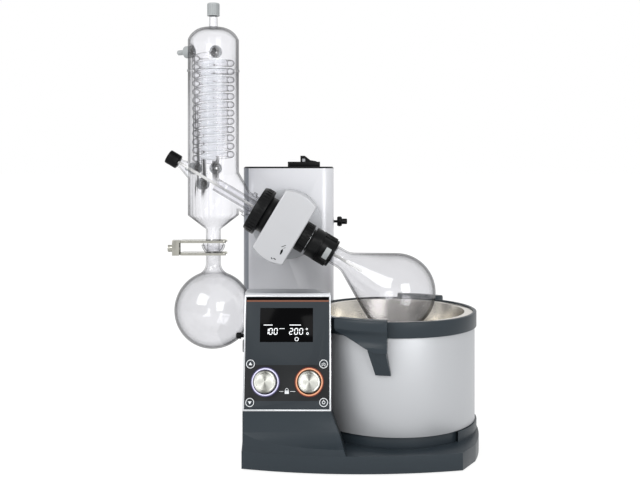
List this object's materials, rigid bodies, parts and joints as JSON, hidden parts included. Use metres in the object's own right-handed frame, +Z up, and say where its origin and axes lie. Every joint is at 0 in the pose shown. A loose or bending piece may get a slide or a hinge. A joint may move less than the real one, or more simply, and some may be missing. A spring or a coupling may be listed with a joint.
{
  "type": "rotary evaporator",
  "caption": "Laboratory rotary evaporator: lifting tower with tilting drive head, upright glass condenser, pear and receiving flasks, heating bath and knob console.",
  "frame": {"origin": "middle of the footprint at bench level", "axes": "+Z up, +X to the operator's right, +Y away from the operator"},
  "size_m": [0.5286, 0.35, 0.7433],
  "materials": {
    "base_plastic": "moulded dark grey polyurethane",
    "black_plastic": "moulded black glass-filled polyamide",
    "white_plastic": "machined fluoropolymer",
    "sheet_steel": "zinc coated",
    "rubber": "matt",
    "circuit_board": "solder mask",
    "steel": "bright",
    "stainless": "drawn and polished",
    "black_metal": "black",
    "silver_trim": "satin anodised",
    "anodised_aluminium": "satin anodised extrusion",
    "silver_paint": "satin silver paint",
    "grey_paint": "satin grey paint",
    "bath_paint": "satin silver paint",
    "panel_film": "printed film",
    "display_glass": "gloss",
    "light_ring": "translucent",
    "knob_metal": "turned, brushed",
    "brass": "turned",
    "glass": "clear borosilicate",
    "grey_cap": "moulded"
  },
  "bodies": {
    "base": {"base_platform": "base_plastic", "base_plate": "sheet_steel", "rubber_feet": "rubber", "mains_inlet": "black_plastic", "circuit_boards": "circuit_board", "lift_column": "steel", "lift_motor": "black_metal", "console_housing": "base_plastic", "console_trim": "silver_trim", "panel_face": "panel_film", "display_window": "display_glass", "knob_light_rings": "light_ring", "side_ports": "black_plastic"},
    "lift_screw": {"lift_screw": "steel"},
    "lift": {"tower_sleeve": "anodised_aluminium", "tower_cap": "black_plastic", "glide_pads": "white_plastic", "lift_nut": "white_plastic", "hose_clip_base": "black_plastic", "tilt_bearing": "brass"},
    "hose_latch": {"hose_clip_latch": "black_plastic"},
    "tilt_lock": {"tilt_lock_knob": "black_plastic"},
    "head": {"head_housing": "silver_paint", "head_front_cover": "silver_paint", "pivot_drum": "grey_paint", "tilt_shaft": "steel", "head_flange": "black_plastic", "vapour_seal": "white_plastic", "drive_bearings": "steel", "drive_motor": "black_metal", "condenser_jacket": "glass", "cooling_coils": "glass", "hose_caps": "grey_cap", "top_cap": "grey_cap", "feed_cap": "black_plastic", "feed_tube": "white_plastic", "receiving_flask": "glass", "clamp_upper_fork": "steel"},
    "motor": {"motor_pinion": "steel"},
    "drive": {"hollow_shaft": "steel", "drive_gear": "white_plastic", "vapour_tube": "glass", "flask_clip": "black_plastic", "evaporating_flask": "glass"},
    "union": {"union_nut": "black_plastic"},
    "ejector": {"ejector_nut": "black_plastic"},
    "lower_fork": {"clamp_lower_fork": "steel"},
    "fork_screw": {"clamp_screw": "steel"},
    "heat_knob": {"knob_heating": "knob_metal"},
    "rotation_knob": {"knob_rotation": "knob_metal"},
    "key_lift_up": {"key_lift_up": "panel_film"},
    "key_lift_down": {"key_lift_down": "panel_film"},
    "key_heat": {"key_heat": "panel_film"},
    "key_power": {"key_power": "panel_film"},
    "bath": {"bath_pot": "stainless", "bath_shell": "bath_paint", "bath_collar": "base_plastic", "bath_handles": "base_plastic", "bath_foot_ring": "base_plastic", "bath_heater": "black_metal"}
  },
  "joints": [
    {"name": "lift_slide", "type": "slide", "parent": "base", "child": "lift", "axis": [0, 0, 1], "range_m": [-0.05, 0.105]},
    {"name": "lift_screw_turn", "type": "hinge", "parent": "base", "child": "lift_screw", "pos_m": [-0.057, 0.131, 0.1], "axis": [0, 0, 1], "continuous": true},
    {"name": "head_tilt", "type": "hinge", "parent": "lift", "child": "head", "pos_m": [-0.0578, 0, 0.365], "axis": [0, 1, 0], "range_deg": [-7, 5]},
    {"name": "tilt_lock_turn", "type": "hinge", "parent": "lift", "child": "tilt_lock", "pos_m": [0.025, 0.131, 0.365], "axis": [1, 0, 0], "range_deg": [0, 180]},
    {"name": "hose_latch_open", "type": "hinge", "parent": "lift", "child": "hose_latch", "pos_m": [-0.009, 0.132, 0.472], "axis": [0, 1, 0], "range_deg": [0, 40], "stiffness_Nm_per_rad": 0.05},
    {"name": "drive_spin", "type": "hinge", "parent": "head", "child": "drive", "pos_m": [-0.0578, 0, 0.365], "axis": [0.8599, 0, -0.5105], "continuous": true},
    {"name": "motor_spin", "type": "hinge", "parent": "head", "child": "motor", "pos_m": [-0.03789, 0, 0.39853], "axis": [0.8599, 0, -0.5105], "continuous": true},
    {"name": "union_nut_turn", "type": "hinge", "parent": "head", "child": "union", "pos_m": [-0.10251, 0, 0.39155], "axis": [0.8599, 0, -0.5105], "range_deg": [0, 180]},
    {"name": "ejector_turn", "type": "hinge", "parent": "drive", "child": "ejector", "pos_m": [-0.02599, 0, 0.34611], "axis": [0.8599, 0, -0.5105], "range_deg": [0, 270]},
    {"name": "fork_open", "type": "hinge", "parent": "head", "child": "lower_fork", "pos_m": [-0.2422, 0, 0.3184], "axis": [0, 1, 0], "range_deg": [0, 6]},
    {"name": "fork_screw_turn", "type": "hinge", "parent": "head", "child": "fork_screw", "pos_m": [-0.2512, 0, 0.327], "axis": [1, 0, 0], "continuous": true},
    {"name": "heat_knob_turn", "type": "hinge", "parent": "base", "child": "heat_knob", "pos_m": [-0.0847, -0.13874, 0.13302], "axis": [0, -0.9659, 0.2588], "continuous": true},
    {"name": "rotation_knob_turn", "type": "hinge", "parent": "base", "child": "rotation_knob", "pos_m": [-0.0167, -0.13874, 0.13302], "axis": [0, -0.9659, 0.2588], "continuous": true},
    {"name": "key_lift_up_press", "type": "slide", "parent": "base", "child": "key_lift_up", "axis": [0, 0.9659, -0.2588], "range_m": [0, 0.0005], "stiffness_N_per_m": 800},
    {"name": "key_lift_down_press", "type": "slide", "parent": "base", "child": "key_lift_down", "axis": [0, 0.9659, -0.2588], "range_m": [0, 0.0005], "stiffness_N_per_m": 800},
    {"name": "key_heat_press", "type": "slide", "parent": "base", "child": "key_heat", "axis": [0, 0.9659, -0.2588], "range_m": [0, 0.0005], "stiffness_N_per_m": 800},
    {"name": "key_power_press", "type": "slide", "parent": "base", "child": "key_power", "axis": [0, 0.9659, -0.2588], "range_m": [0, 0.0005], "stiffness_N_per_m": 800},
    {"name": "bath_lift_off", "type": "slide", "parent": "base", "child": "bath", "axis": [0, 0, 1], "range_m": [0, 0.01]}
  ],
  "couplings": [
    {"joint": "motor_spin", "follows": "drive_spin", "ratio": -3.3333},
    {"joint": "lift_screw_turn", "follows": "lift_slide", "rad_per_m": 628.32}
  ]
}
